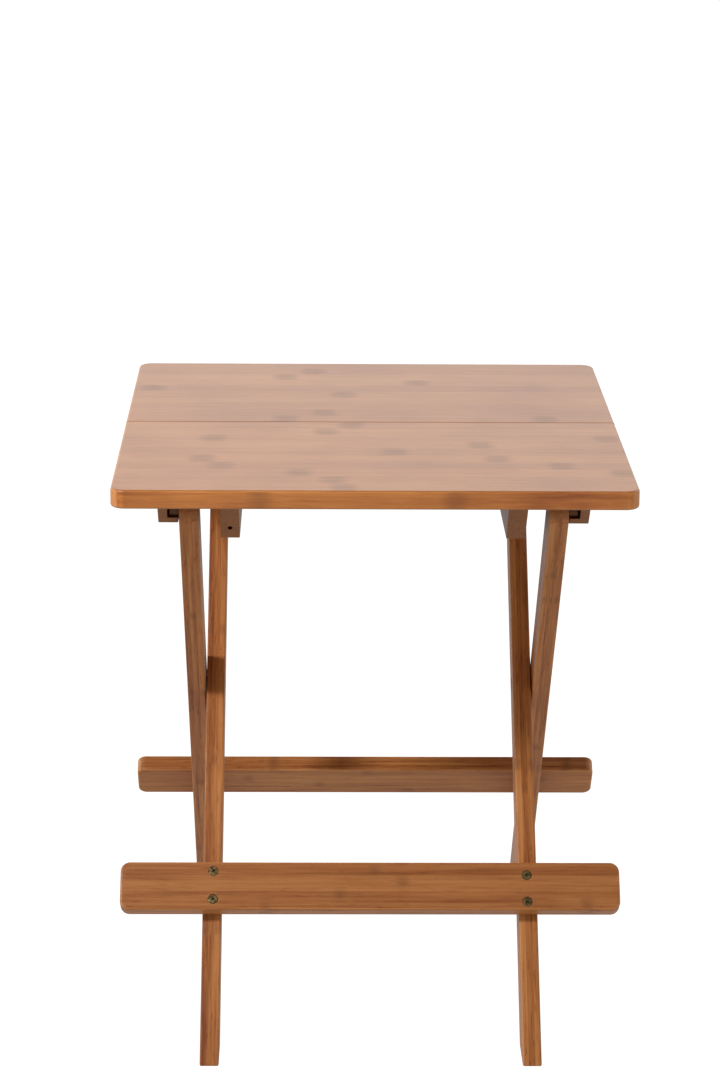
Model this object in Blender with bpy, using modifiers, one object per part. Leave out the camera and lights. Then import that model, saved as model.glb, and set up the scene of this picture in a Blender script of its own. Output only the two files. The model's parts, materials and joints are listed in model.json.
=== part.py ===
"""A folding side table of laminated bamboo.

Two boards lie on four battens. Under them two frames cross like scissors: the inner frame's legs
are hinged to the inner battens at the rear, and the outer frame's legs carry pins that slide in
grooves in the outer battens. +Z is up and the front is towards -Y.
"""

from math import cos, pi, radians, sin

import bmesh
import bpy
from mathutils import Matrix, Vector

# Top: two boards side by side along Y, with their grain along X.
TOP_WIDTH = 0.420
TOP_DEPTH = 0.466
TABLE_HEIGHT = 0.4907
BOARD_THICKNESS = 0.0155
BOARD_SEAM = 0.0006
BOARD_CORNER_RADIUS = 0.012
BOARD_EASING = 0.0022
BOARD_EASING_SEGMENTS = 3
BOARD_CORNER_SEGMENTS = 7

# Legs: flat bars that lean by the same angle, forwards and backwards, and cross off centre.
LEG_LEAN = radians(39.3)
LEG_WIDTH = 0.032
LEG_THICKNESS = 0.0158
LEG_EASING = 0.0012
LEG_END = 0.012
LEG_END_RADIUS = 0.012
BAR_CORNER_SEGMENTS = 6
CROSS_HEIGHT = 0.2554
PIVOT_DROP = 0.018

# Stretchers: a bar across each frame, screwed to the outer faces of the legs.
STRETCHER_LENGTH = 0.420
STRETCHER_HEIGHT = 0.0415
STRETCHER_THICKNESS = 0.015
STRETCHER_ALONG_LEG = 0.1364
STRETCHER_CORNER_RADIUS = 0.008
STRETCHER_EASING = 0.0018

# Battens: the inner pair holds the hinge bolts, the outer pair holds the pins' grooves.
BATTEN_HALF_LENGTH = 0.195
BATTEN_EASING = 0.0008
INNER_BATTEN_FACE = 0.1246
INNER_BATTEN_THICKNESS = 0.0156
INNER_BATTEN_HEIGHT = 0.0464
OUTER_BATTEN_THICKNESS = 0.0163
OUTER_BATTEN_HEIGHT = 0.0288
OUTER_BATTEN_GAP = 0.001
GROOVE_HEIGHT = 0.011
GROOVE_DEPTH = 0.0087
PEG_HOLE_RADIUS = 0.002
PEG_HOLE_DEPTH = 0.012
PEG_HOLE_DROP = 0.0351

# Hardware.
PLAY = 0.0003
WASHER_PLAY = 0.00015
WASHER_THICKNESS = 0.0004
WASHER_RADIUS = 0.0078
SLEEVE_RADIUS = 0.004
SLEEVE_LENGTH = 0.022
BOLT_RADIUS = 0.0027
BOLT_HEAD_RADIUS = 0.0065
BOLT_HEAD_THICKNESS = 0.0024
HEX_SOCKET_RADIUS = 0.0023
HEX_SOCKET_DEPTH = 0.0015
PIN_RADIUS = 0.005
PIN_EASING = 0.0008
PIN_IN_LEG = 0.008
PIN_IN_GROOVE = 0.0072
ROUND_SEGMENTS = 20
SCREW_SEGMENTS = 12
OVERSHOOT = 0.001
SHARP_ANGLE = radians(32)
SAME_PLACE = 1e-5
SAME_POINT = 1e-6

# Screws: head radius, shank radius, length and cross-recess length of each size.
STRETCHER_SCREW = {"head": 0.0041, "shank": 0.0018, "length": 0.032, "recess": 0.0046}
INNER_BATTEN_SCREW = {"head": 0.0038, "shank": 0.0018, "length": 0.038, "recess": 0.0042}
OUTER_BATTEN_SCREW = {"head": 0.0029, "shank": 0.0014, "length": 0.040, "recess": 0.0034}
SCREW_TIP = 0.006
SCREW_RIM = 0.0002
RECESS_WIDTH = 0.0009
RECESS_DEPTH = 0.0016
RECESS_TAPER = 0.45
# Each stretcher screw's height above the bar's middle: upper and lower, left and right.
FRONT_SCREW_HEIGHTS = ((0.0127, -0.0116), (0.0096, -0.0135))
REAR_SCREW_HEIGHTS = ((0.0118, -0.0120), (0.0110, -0.0126))
# How much nearer the middle than a leg's centre its stretcher screws sit.
STRETCHER_SCREW_INSET = 0.0013
BATTEN_SCREW_Y = (-0.134, -0.048, 0.048, 0.126)
INNER_BATTEN_COUNTERBORE = 0.0185
COUNTERBORE_RADIUS = 0.0048

BAMBOO_TOP = (0.58, 0.34, 0.19)
BAMBOO_LEG = (0.47, 0.23, 0.10)
BAMBOO_BATTEN = (0.38, 0.18, 0.08)
BRASS = (0.42, 0.30, 0.13)
ZINC = (0.55, 0.53, 0.50)
DOWEL = (0.62, 0.42, 0.24)

# Places worked out from the sizes above.
UNDERSIDE = TABLE_HEIGHT - BOARD_THICKNESS
PIVOT_HEIGHT = UNDERSIDE - PIVOT_DROP
UPPER_LENGTH = (PIVOT_HEIGHT - CROSS_HEIGHT) / cos(LEG_LEAN)
LOWER_LENGTH = CROSS_HEIGHT / cos(LEG_LEAN)
PIVOT_Y = UPPER_LENGTH * sin(LEG_LEAN)
STRETCHER_Z = STRETCHER_ALONG_LEG - LOWER_LENGTH
JOINT_GAP = WASHER_THICKNESS + 2 * WASHER_PLAY
INNER_LEG_FACES = (INNER_BATTEN_FACE + JOINT_GAP, INNER_BATTEN_FACE + JOINT_GAP + LEG_THICKNESS)
OUTER_LEG_FACES = (INNER_LEG_FACES[1] + JOINT_GAP, INNER_LEG_FACES[1] + JOINT_GAP + LEG_THICKNESS)
OUTER_BATTEN_FACES = (
    OUTER_LEG_FACES[1] + OUTER_BATTEN_GAP,
    OUTER_LEG_FACES[1] + OUTER_BATTEN_GAP + OUTER_BATTEN_THICKNESS,
)
SIDES = (("left", -1), ("right", 1))


def clear_scene():
    for old in list(bpy.data.objects):
        bpy.data.objects.remove(old, do_unlink=True)


def new_collection(name):
    collection = bpy.data.collections.new(name)
    bpy.context.scene.collection.children.link(collection)
    return collection


def empty(name, location, lean=0.0):
    """A frame for the pieces of one body, with its origin on the body's joint axis."""
    holder = bpy.data.objects.new(name, None)
    holder.location = location
    holder.rotation_euler = (lean, 0, 0)
    parts.objects.link(holder)
    return holder


def material(name, colour, roughness, metallic):
    made = bpy.data.materials.new(name)
    made.use_nodes = True
    shader = made.node_tree.nodes["Principled BSDF"]
    shader.inputs["Base Color"].default_value = (*colour, 1)
    shader.inputs["Roughness"].default_value = roughness
    shader.inputs["Metallic"].default_value = metallic
    return made


def mesh_from(shape, name):
    """Turns a bmesh into a mesh, and frees the bmesh."""
    bmesh.ops.recalc_face_normals(shape, faces=shape.faces)
    mesh = bpy.data.meshes.new(name)
    shape.to_mesh(mesh)
    shape.free()
    mesh.shade_smooth()
    mesh.set_sharp_from_angle(angle=SHARP_ANGLE)
    return mesh


def piece(name, mesh, parent, colour, roughness=0.5, metallic=0.0):
    made = bpy.data.objects.new(name, mesh)
    made.parent = parent
    parts.objects.link(made)
    made.data.materials.clear()
    made.data.materials.append(material(name + "_finish", colour, roughness, metallic))
    return made


def box(x_range, y_range, z_range):
    """A box between two limits on each axis."""
    shape = bmesh.new()
    ranges = (x_range, y_range, z_range)
    size = Matrix.Diagonal([high - low for low, high in ranges] + [1])
    centre = Matrix.Translation([(high + low) / 2 for low, high in ranges])
    bmesh.ops.create_cube(shape, size=1, matrix=centre @ size)
    return shape


def prism(x_range, outline):
    """A bar along X whose section is a closed outline of (y, z) points."""
    shape = bmesh.new()
    near, far = ([shape.verts.new((x, y, z)) for y, z in outline] for x in x_range)
    shape.faces.new(near)
    shape.faces.new(far)
    for index in range(len(outline)):
        shape.faces.new((near[index - 1], near[index], far[index], far[index - 1]))
    bmesh.ops.recalc_face_normals(shape, faces=shape.faces)
    return shape


def slice_off(shape, point, normal):
    """Cuts away what lies beyond a plane and closes the cut."""
    everything = shape.verts[:] + shape.edges[:] + shape.faces[:]
    result = bmesh.ops.bisect_plane(
        shape, geom=everything, plane_co=point, plane_no=normal, clear_outer=True
    )
    rim = [item for item in result["geom_cut"] if isinstance(item, bmesh.types.BMEdge)]
    bmesh.ops.contextual_create(shape, geom=rim)


def round_edges(shape, radius, segments, wanted):
    """Rounds the edges whose two ends both answer to wanted."""
    edges = [edge for edge in shape.edges if all(wanted(vert.co) for vert in edge.verts)]
    bmesh.ops.bevel(
        shape, geom=edges, offset=radius, segments=segments, profile=0.5, affect="EDGES"
    )


def ease(obj, width, segments=2):
    """Rounds every sharp arris of a piece."""
    bevel = obj.modifiers.new("eased_edges", "BEVEL")
    bevel.width = width
    bevel.segments = segments
    bevel.limit_method = "ANGLE"
    bevel.angle_limit = SHARP_ANGLE


def turned(profile, segments, matrix=None):
    """A round solid: (radius, height) points, turned about Z and then placed by matrix."""
    shape = bmesh.new()
    points = [shape.verts.new((radius, 0, height)) for radius, height in profile]
    outline = [shape.edges.new(pair) for pair in zip(points, points[1:])]
    if profile[0][0] > 0:
        outline.append(shape.edges.new((points[-1], points[0])))
    bmesh.ops.spin(
        shape,
        geom=points + outline,
        cent=(0, 0, 0),
        axis=(0, 0, 1),
        angle=2 * pi,
        steps=segments,
        use_merge=True,
    )
    bmesh.ops.remove_doubles(shape, verts=shape.verts, dist=SAME_POINT)
    bmesh.ops.recalc_face_normals(shape, faces=shape.faces)
    if matrix is not None:
        bmesh.ops.transform(shape, matrix=matrix, verts=shape.verts)
    return shape


def joined(shapes):
    """Puts separate closed shapes into one bmesh."""
    whole = bmesh.new()
    for shape in shapes:
        mesh = bpy.data.meshes.new("joined")
        shape.to_mesh(mesh)
        shape.free()
        whole.from_mesh(mesh)
        bpy.data.meshes.remove(mesh)
    return whole


def cut(obj, shapes):
    """Takes a list of closed shapes, given in the piece's own frame, out of a piece."""
    name = f"{obj.name}_cutter_{len(obj.modifiers)}"
    cutter = bpy.data.objects.new(name, mesh_from(joined(shapes), name))
    cutter.parent = obj.parent
    cutter.matrix_basis = obj.matrix_basis
    cutter.hide_render = True
    cutter.display_type = "WIRE"
    cutters.objects.link(cutter)
    boolean = obj.modifiers.new("cut", "BOOLEAN")
    boolean.operation = "DIFFERENCE"
    boolean.solver = "EXACT"
    boolean.object = cutter


def made_solid(obj):
    """The finished mesh of an object, which then makes way for copies of it."""
    bpy.context.view_layer.update()
    graph = bpy.context.evaluated_depsgraph_get()
    mesh = bpy.data.meshes.new_from_object(obj.evaluated_get(graph))
    bpy.data.objects.remove(obj, do_unlink=True)
    return mesh


def facing(direction, point):
    """Places a piece made along Z so that its +Z points along direction from point."""
    turn = Vector(direction).to_track_quat("Z", "Y").to_matrix().to_4x4()
    return Matrix.Translation(point) @ turn


# ---- top -------------------------------------------------------------------------------------


def board(name, side):
    """One of the two boards; side is -1 for the front one and 1 for the rear one."""
    outer_y = side * TOP_DEPTH / 2 - top.location.y
    seam_y = side * BOARD_SEAM / 2 - top.location.y
    height = (UNDERSIDE - PIVOT_HEIGHT, TABLE_HEIGHT - PIVOT_HEIGHT)
    shape = box((-TOP_WIDTH / 2, TOP_WIDTH / 2), sorted((outer_y, seam_y)), height)
    for x in (-TOP_WIDTH / 2, TOP_WIDTH / 2):
        corner = Vector((x, outer_y))
        round_edges(
            shape,
            BOARD_CORNER_RADIUS,
            BOARD_CORNER_SEGMENTS,
            lambda co, corner=corner: (co.xy - corner).length < SAME_PLACE,
        )
    # Only the outer arrises are eased; the two boards meet at crisp ones.
    weights = shape.edges.layers.float.new("bevel_weight_edge")
    for edge in shape.edges:
        at_seam = all(abs(vert.co.y - seam_y) < SAME_PLACE for vert in edge.verts)
        edge[weights] = float(not at_seam and edge.calc_face_angle() > SHARP_ANGLE)
    made = piece(name, mesh_from(shape, name), top, BAMBOO_TOP, 0.38)
    ease(made, BOARD_EASING, BOARD_EASING_SEGMENTS)
    made.modifiers[0].limit_method = "WEIGHT"
    holes = []
    for y in BATTEN_SCREW_Y:
        if y * side > 0:
            for _, x_side in SIDES:
                inner = Vector((x_side * INNER_BATTEN_X, y - PIVOT_Y, -INNER_SCREW_DROP))
                outer = Vector((x_side * OUTER_SCREW_X, y - PIVOT_Y, -OUTER_SCREW_DROP))
                holes.append(pilot_hole(INNER_BATTEN_SCREW, facing((0, 0, -1), inner)))
                holes.append(pilot_hole(OUTER_BATTEN_SCREW, facing((0, 0, -1), outer)))
    cut(made, holes)


def batten(name, x_faces, height):
    """A bar under the boards, with both ends cut back at 45 degrees."""
    top_z = UNDERSIDE - PLAY - PIVOT_HEIGHT
    bottom_z = top_z - height
    front = -BATTEN_HALF_LENGTH - PIVOT_Y
    rear = BATTEN_HALF_LENGTH - PIVOT_Y
    outline = (
        (front, top_z),
        (rear, top_z),
        (rear - height, bottom_z),
        (front + height, bottom_z),
    )
    shape = prism(x_faces, outline)
    made = piece(name, mesh_from(shape, name), top, BAMBOO_BATTEN, 0.5)
    ease(made, BATTEN_EASING)
    return made


def inner_batten(side_name, side):
    name = f"inner_batten_{side_name}"
    inner_face = INNER_BATTEN_FACE - INNER_BATTEN_THICKNESS
    made = batten(name, (side * inner_face, side * INNER_BATTEN_FACE), INNER_BATTEN_HEIGHT)
    outward = (side, 0, 0)
    seat = BOLT_HEAD_THICKNESS + PLAY
    hinge_hole = turned(
        [
            (0, -OVERSHOOT),
            (BOLT_HEAD_RADIUS + PLAY, -OVERSHOOT),
            (BOLT_HEAD_RADIUS + PLAY, seat),
            (SLEEVE_RADIUS + PLAY, seat),
            (SLEEVE_RADIUS + PLAY, INNER_BATTEN_THICKNESS + OVERSHOOT),
            (0, INNER_BATTEN_THICKNESS + OVERSHOOT),
        ],
        ROUND_SEGMENTS,
        facing(outward, (side * inner_face, 0, 0)),
    )
    holes = [hinge_hole]
    for y in BATTEN_SCREW_Y:
        head = Vector((side * INNER_BATTEN_X, y - PIVOT_Y, -INNER_SCREW_DROP))
        holes.append(
            clearance_hole(
                INNER_BATTEN_SCREW,
                facing((0, 0, -1), head),
                INNER_BATTEN_COUNTERBORE + OVERSHOOT,
                COUNTERBORE_RADIUS,
            )
        )
    if side < 0:
        mouth = (side * INNER_BATTEN_X, -BATTEN_HALF_LENGTH - PIVOT_Y, PIVOT_DROP - PEG_HOLE_DROP)
        depth = PEG_HOLE_DROP + PEG_HOLE_DEPTH
        profile = [(0, 0), (PEG_HOLE_RADIUS, 0), (PEG_HOLE_RADIUS, depth), (0, depth)]
        holes.append(turned(profile, ROUND_SEGMENTS, facing((0, 1, 0), mouth)))
    cut(made, holes)


def outer_batten(side_name, side):
    name = f"outer_batten_{side_name}"
    near, far = OUTER_BATTEN_FACES
    made = batten(name, (side * near, side * far), OUTER_BATTEN_HEIGHT)
    beyond = BATTEN_HALF_LENGTH + OVERSHOOT
    groove = box(
        sorted((side * (near - OVERSHOOT), side * (near + GROOVE_DEPTH))),
        (-beyond - PIVOT_Y, beyond - PIVOT_Y),
        (-GROOVE_HEIGHT / 2, GROOVE_HEIGHT / 2),
    )
    holes = [groove]
    for y in BATTEN_SCREW_Y:
        head = Vector((side * OUTER_SCREW_X, y - PIVOT_Y, -OUTER_SCREW_DROP))
        holes.append(clearance_hole(OUTER_BATTEN_SCREW, facing((0, 0, -1), head), OVERSHOOT))
    cut(made, holes)


# ---- legs and stretchers -----------------------------------------------------------------------


def leg(name, x_faces, frame, upper_side):
    """A leg along its frame's Z. upper_side is the Y side that faces up: -1 or 1.

    The top end keeps a corner on that side, cut level, which bears on the boards and stops the
    legs from spreading; its other corner is round, so the leg can turn under the boards.
    """
    half = LEG_WIDTH / 2
    end_z = UPPER_LENGTH + LEG_END
    shape = box(sorted(x_faces), (-half, half), (-LOWER_LENGTH - 2 * LEG_WIDTH, end_z))
    round_corner = Vector((-upper_side * half, end_z))
    round_edges(
        shape,
        LEG_END_RADIUS,
        BAR_CORNER_SEGMENTS,
        lambda co: (co.yz - round_corner).length < SAME_PLACE,
    )
    up = Vector((0, upper_side * sin(LEG_LEAN), cos(LEG_LEAN)))
    slice_off(shape, up * (UNDERSIDE - PLAY - CROSS_HEIGHT), up)
    slice_off(shape, up * -CROSS_HEIGHT, -up)
    made = piece(name, mesh_from(shape, name), frame, BAMBOO_LEG, 0.45)
    ease(made, LEG_EASING)
    return made


def bored_along_x(side, near, far, head_at_far, along=0.0):
    """A pivot hole through one leg, with the seat for a head or sleeve flange on one face."""
    seat = BOLT_HEAD_THICKNESS + PLAY
    wide = BOLT_HEAD_RADIUS + PLAY
    narrow = SLEEVE_RADIUS + PLAY
    thickness = far - near
    profile = [
        (0, -OVERSHOOT),
        (wide, -OVERSHOOT),
        (wide, seat),
        (narrow, seat),
        (narrow, thickness + OVERSHOOT),
        (0, thickness + OVERSHOOT),
    ]
    if head_at_far:
        return turned(profile, ROUND_SEGMENTS, facing((-side, 0, 0), (side * far, 0, along)))
    return turned(profile, ROUND_SEGMENTS, facing((side, 0, 0), (side * near, 0, along)))


def inner_leg(side_name, side):
    near, far = INNER_LEG_FACES
    made = leg(f"inner_leg_{side_name}", (side * near, side * far), inner_frame, -1)
    holes = [
        bored_along_x(side, near, far, False),
        bored_along_x(side, near, far, True, UPPER_LENGTH),
    ]
    holes += leg_screw_holes(side, FRONT_SCREW_X, FRONT_SCREW_HEIGHTS, -1)
    cut(made, holes)


def outer_leg(side_name, side):
    near, far = OUTER_LEG_FACES
    made = leg(f"outer_leg_{side_name}", (side * near, side * far), outer_frame, 1)
    pin_radius = PIN_RADIUS + PLAY
    pin_depth = PIN_IN_LEG + PLAY
    profile = [(0, -OVERSHOOT), (pin_radius, -OVERSHOOT), (pin_radius, pin_depth), (0, pin_depth)]
    pin_place = facing((-side, 0, 0), (side * far, 0, UPPER_LENGTH))
    holes = [bored_along_x(side, near, far, True), turned(profile, ROUND_SEGMENTS, pin_place)]
    holes += leg_screw_holes(side, REAR_SCREW_X, REAR_SCREW_HEIGHTS, 1)
    cut(made, holes)


def screw_places(screw_x, heights, facing_y):
    """Where the heads of a stretcher's screws sit: (side, frame matrix) for each."""
    face_y = facing_y * (LEG_WIDTH / 2 + PLAY + STRETCHER_THICKNESS)
    for (_, side), pair in zip(SIDES, heights):
        for height in pair:
            point = (side * screw_x, face_y, STRETCHER_Z + height)
            yield side, facing((0, facing_y, 0), point)


def leg_screw_holes(side, screw_x, heights, facing_y):
    places = screw_places(screw_x, heights, facing_y)
    return [pilot_hole(STRETCHER_SCREW, place) for of_side, place in places if of_side == side]


def stretcher(name, frame, screw_x, heights, facing_y):
    """A bar across a frame, on its legs' front faces (facing_y -1) or back faces (1)."""
    near = facing_y * (LEG_WIDTH / 2 + PLAY)
    far = near + facing_y * STRETCHER_THICKNESS
    half_x = STRETCHER_LENGTH / 2
    half_z = STRETCHER_HEIGHT / 2
    z_range = (STRETCHER_Z - half_z, STRETCHER_Z + half_z)
    shape = box((-half_x, half_x), sorted((near, far)), z_range)
    round_edges_along_y(shape, half_x, z_range)
    made = piece(name, mesh_from(shape, name), frame, BAMBOO_LEG, 0.42)
    ease(made, STRETCHER_EASING)
    holes = [
        clearance_hole(STRETCHER_SCREW, place, OVERSHOOT)
        for _, place in screw_places(screw_x, heights, facing_y)
    ]
    cut(made, holes)
    for number, (_, place) in enumerate(screw_places(screw_x, heights, facing_y), 1):
        screw(f"{name}_screw_{number}", STRETCHER_SCREW, frame, place, BRASS)


def round_edges_along_y(shape, half_x, z_range):
    for x in (-half_x, half_x):
        for z in z_range:
            corner = Vector((x, z))
            round_edges(
                shape,
                STRETCHER_CORNER_RADIUS,
                BAR_CORNER_SEGMENTS,
                lambda co, corner=corner: (co.xz - corner).length < SAME_PLACE,
            )


# ---- hardware ----------------------------------------------------------------------------------


def screw_outline(size, grow=0.0):
    """A countersunk screw's profile from its head down, each side moved out by grow."""
    head = size["head"] + grow
    shank = size["shank"] + grow
    cone = size["head"] - size["shank"]
    return [
        (head, -SCREW_RIM),
        (shank, -SCREW_RIM - cone),
        (shank, SCREW_TIP - size["length"] - grow),
        (0, -size["length"] - grow),
    ]


def clearance_hole(size, place, above, above_radius=None):
    """The countersunk hole for a screw, open for a length above its head."""
    outline = screw_outline(size, PLAY)
    mouth = above_radius or outline[0][0]
    steps = [(0, above), (mouth, above)]
    if above_radius:
        steps += [(mouth, 0), (outline[0][0], 0)]
    return turned(steps + outline, SCREW_SEGMENTS, place)


def pilot_hole(size, place):
    """The hole for a screw's shank, which starts inside the piece before."""
    shank = size["shank"] + PLAY
    start = -SCREW_RIM - (size["head"] - size["shank"]) - PLAY
    profile = [(0, start), (shank, start)] + screw_outline(size, PLAY)[2:]
    return turned(profile, SCREW_SEGMENTS, place)


def screw_mesh(size):
    """A screw with its head's top at the origin, facing +Z, and a cross recess in the head."""
    blank = turned([(0, 0), (size["head"] - SCREW_RIM, 0)] + screw_outline(size), SCREW_SEGMENTS)
    made = piece("screw_blank", mesh_from(blank, "screw_blank"), None, BRASS)
    for length, width in ((size["recess"], RECESS_WIDTH), (RECESS_WIDTH, size["recess"])):
        blade = box(
            (-length / 2, length / 2), (-width / 2, width / 2), (-RECESS_DEPTH, OVERSHOOT)
        )
        for vert in blade.verts:
            if vert.co.z < 0:
                vert.co.x *= RECESS_TAPER
                vert.co.y *= RECESS_TAPER
        cut(made, [blade])
    return made_solid(made)


def screw(name, size, frame, place, colour):
    key = size["length"]
    if key not in screw_meshes:
        screw_meshes[key] = screw_mesh(size)
    made = piece(name, screw_meshes[key].copy(), frame, colour, 0.35, 1.0)
    made.matrix_basis = place


def batten_screws():
    for side_name, side in SIDES:
        for number, y in enumerate(BATTEN_SCREW_Y, 1):
            inner = facing((0, 0, -1), (side * INNER_BATTEN_X, y - PIVOT_Y, -INNER_SCREW_DROP))
            outer = facing((0, 0, -1), (side * OUTER_SCREW_X, y - PIVOT_Y, -OUTER_SCREW_DROP))
            screw(f"inner_batten_screw_{side_name}_{number}", INNER_BATTEN_SCREW, top, inner, ZINC)
            screw(f"outer_batten_screw_{side_name}_{number}", OUTER_BATTEN_SCREW, top, outer, ZINC)


def socket(obj):
    """A hexagonal socket in the middle of a head whose top is at the origin, facing +Z."""
    shape = bmesh.new()
    bmesh.ops.create_cone(
        shape,
        cap_ends=True,
        segments=6,
        radius1=HEX_SOCKET_RADIUS,
        radius2=HEX_SOCKET_RADIUS,
        depth=HEX_SOCKET_DEPTH + OVERSHOOT,
        matrix=Matrix.Translation((0, 0, (OVERSHOOT - HEX_SOCKET_DEPTH) / 2)),
    )
    cut(obj, [shape])


def pivot_hardware(name, side, frame, inner_face, outer_face, washer_face):
    """A bolt, its sleeve nut and the washer between two pieces that turn on them."""
    flange = BOLT_HEAD_THICKNESS
    length = outer_face - inner_face
    shank_end = 2 * flange + PLAY - length
    bolt = turned(
        [
            (0, 0),
            (BOLT_HEAD_RADIUS - SCREW_RIM, 0),
            (BOLT_HEAD_RADIUS, -SCREW_RIM),
            (BOLT_HEAD_RADIUS, -flange),
            (BOLT_RADIUS, -flange),
            (BOLT_RADIUS, shank_end),
            (0, shank_end),
        ],
        ROUND_SEGMENTS,
    )
    bolt_object = piece(f"{name}_bolt", mesh_from(bolt, name), frame, BRASS, 0.35, 1.0)
    bolt_object.matrix_basis = facing((side, 0, 0), (side * outer_face, 0, 0))
    socket(bolt_object)
    bore = BOLT_RADIUS + PLAY
    bottom = -flange
    sleeve = turned(
        [
            (0, 0),
            (BOLT_HEAD_RADIUS - SCREW_RIM, 0),
            (BOLT_HEAD_RADIUS, -SCREW_RIM),
            (BOLT_HEAD_RADIUS, -flange),
            (SLEEVE_RADIUS, -flange),
            (SLEEVE_RADIUS, -SLEEVE_LENGTH),
            (bore, -SLEEVE_LENGTH),
            (bore, bottom),
            (0, bottom),
        ],
        ROUND_SEGMENTS,
    )
    nut_object = piece(f"{name}_sleeve_nut", mesh_from(sleeve, name), frame, BRASS, 0.35, 1.0)
    nut_object.matrix_basis = facing((-side, 0, 0), (side * inner_face, 0, 0))
    socket(nut_object)
    ring = turned(
        [
            (SLEEVE_RADIUS + PLAY, 0),
            (WASHER_RADIUS, 0),
            (WASHER_RADIUS, WASHER_THICKNESS),
            (SLEEVE_RADIUS + PLAY, WASHER_THICKNESS),
        ],
        ROUND_SEGMENTS,
    )
    washer = piece(f"{name}_washer", mesh_from(ring, name), frame, ZINC, 0.35, 1.0)
    washer.matrix_basis = facing((side, 0, 0), (side * (washer_face + WASHER_PLAY), 0, 0))


def slide_pin(side_name, side):
    """A round peg in an outer leg's top end, which slides in the batten's groove."""
    length = PIN_IN_LEG + OUTER_BATTEN_GAP + PIN_IN_GROOVE
    profile = [
        (0, 0),
        (PIN_RADIUS - PIN_EASING, 0),
        (PIN_RADIUS, PIN_EASING),
        (PIN_RADIUS, length - PIN_EASING),
        (PIN_RADIUS - PIN_EASING, length),
        (0, length),
    ]
    name = f"slide_pin_{side_name}"
    made = piece(
        name, mesh_from(turned(profile, ROUND_SEGMENTS), name), outer_frame, DOWEL, 0.55
    )
    start = side * (OUTER_LEG_FACES[1] - PIN_IN_LEG)
    made.matrix_basis = facing((side, 0, 0), (start, 0, UPPER_LENGTH))


clear_scene()
parts = new_collection("folding_side_table")
cutters = new_collection("cutters")
screw_meshes = {}

FRONT_SCREW_X = sum(INNER_LEG_FACES) / 2 - STRETCHER_SCREW_INSET
REAR_SCREW_X = sum(OUTER_LEG_FACES) / 2 - STRETCHER_SCREW_INSET
INNER_BATTEN_X = INNER_BATTEN_FACE - INNER_BATTEN_THICKNESS / 2
OUTER_SCREW_X = (OUTER_BATTEN_FACES[0] + GROOVE_DEPTH + OUTER_BATTEN_FACES[1]) / 2
# How far the heads of the batten screws lie below the hinge axis, which is the top's origin.
INNER_SCREW_DROP = INNER_BATTEN_HEIGHT - INNER_BATTEN_COUNTERBORE + PLAY - PIVOT_DROP
OUTER_SCREW_DROP = OUTER_BATTEN_HEIGHT + PLAY - PIVOT_DROP

inner_frame = empty("inner_frame", (0, 0, CROSS_HEIGHT), -LEG_LEAN)
outer_frame = empty("outer_frame", (0, 0, CROSS_HEIGHT), LEG_LEAN)
top = empty("top", (0, PIVOT_Y, PIVOT_HEIGHT))

board("top_board_front", -1)
board("top_board_rear", 1)
stretcher("front_stretcher", inner_frame, FRONT_SCREW_X, FRONT_SCREW_HEIGHTS, -1)
stretcher("rear_stretcher", outer_frame, REAR_SCREW_X, REAR_SCREW_HEIGHTS, 1)
batten_screws()
for side_name, side in SIDES:
    inner_batten(side_name, side)
    outer_batten(side_name, side)
    inner_leg(side_name, side)
    outer_leg(side_name, side)
    slide_pin(side_name, side)
    pivot_hardware(
        f"cross_pivot_{side_name}",
        side,
        inner_frame,
        INNER_LEG_FACES[0],
        OUTER_LEG_FACES[1],
        INNER_LEG_FACES[1],
    )
    pivot_hardware(
        f"top_hinge_{side_name}",
        side,
        top,
        INNER_BATTEN_FACE - INNER_BATTEN_THICKNESS,
        INNER_LEG_FACES[1],
        INNER_BATTEN_FACE,
    )
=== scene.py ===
"""The looks of the folding side table: fine bamboo pieces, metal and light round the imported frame.

Each board and bar is a finer copy of its CAD node, with a bamboo material that runs right through
it: strips side by side, layers on top of each other, and fibres along the grain.
"""

import json
from math import cos, pi, radians, sin, tan

import bmesh
import bpy
from mathutils import Matrix, Vector


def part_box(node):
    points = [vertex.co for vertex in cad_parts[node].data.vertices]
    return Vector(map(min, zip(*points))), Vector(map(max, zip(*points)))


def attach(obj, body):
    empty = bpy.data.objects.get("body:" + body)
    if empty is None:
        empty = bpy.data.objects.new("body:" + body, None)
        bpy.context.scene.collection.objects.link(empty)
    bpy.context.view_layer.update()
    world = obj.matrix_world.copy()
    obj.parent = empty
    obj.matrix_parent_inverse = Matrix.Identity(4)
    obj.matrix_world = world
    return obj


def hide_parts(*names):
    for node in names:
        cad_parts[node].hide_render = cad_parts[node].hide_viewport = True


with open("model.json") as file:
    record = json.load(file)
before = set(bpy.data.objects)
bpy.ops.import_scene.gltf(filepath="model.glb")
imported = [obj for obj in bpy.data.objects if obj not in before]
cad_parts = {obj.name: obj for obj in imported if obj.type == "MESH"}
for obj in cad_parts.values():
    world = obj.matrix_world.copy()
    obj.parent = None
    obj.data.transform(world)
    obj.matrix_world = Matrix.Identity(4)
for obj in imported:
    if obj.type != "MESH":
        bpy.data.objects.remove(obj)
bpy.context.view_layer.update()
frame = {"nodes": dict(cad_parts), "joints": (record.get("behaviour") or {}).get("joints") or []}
nodes = frame["nodes"]
joints = {joint["name"]: joint for joint in frame["joints"]}

SIDES = {-1: "left", 1: "right"}
X = Vector((1, 0, 0))
Y = Vector((0, 1, 0))
Z = Vector((0, 0, 1))

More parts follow.
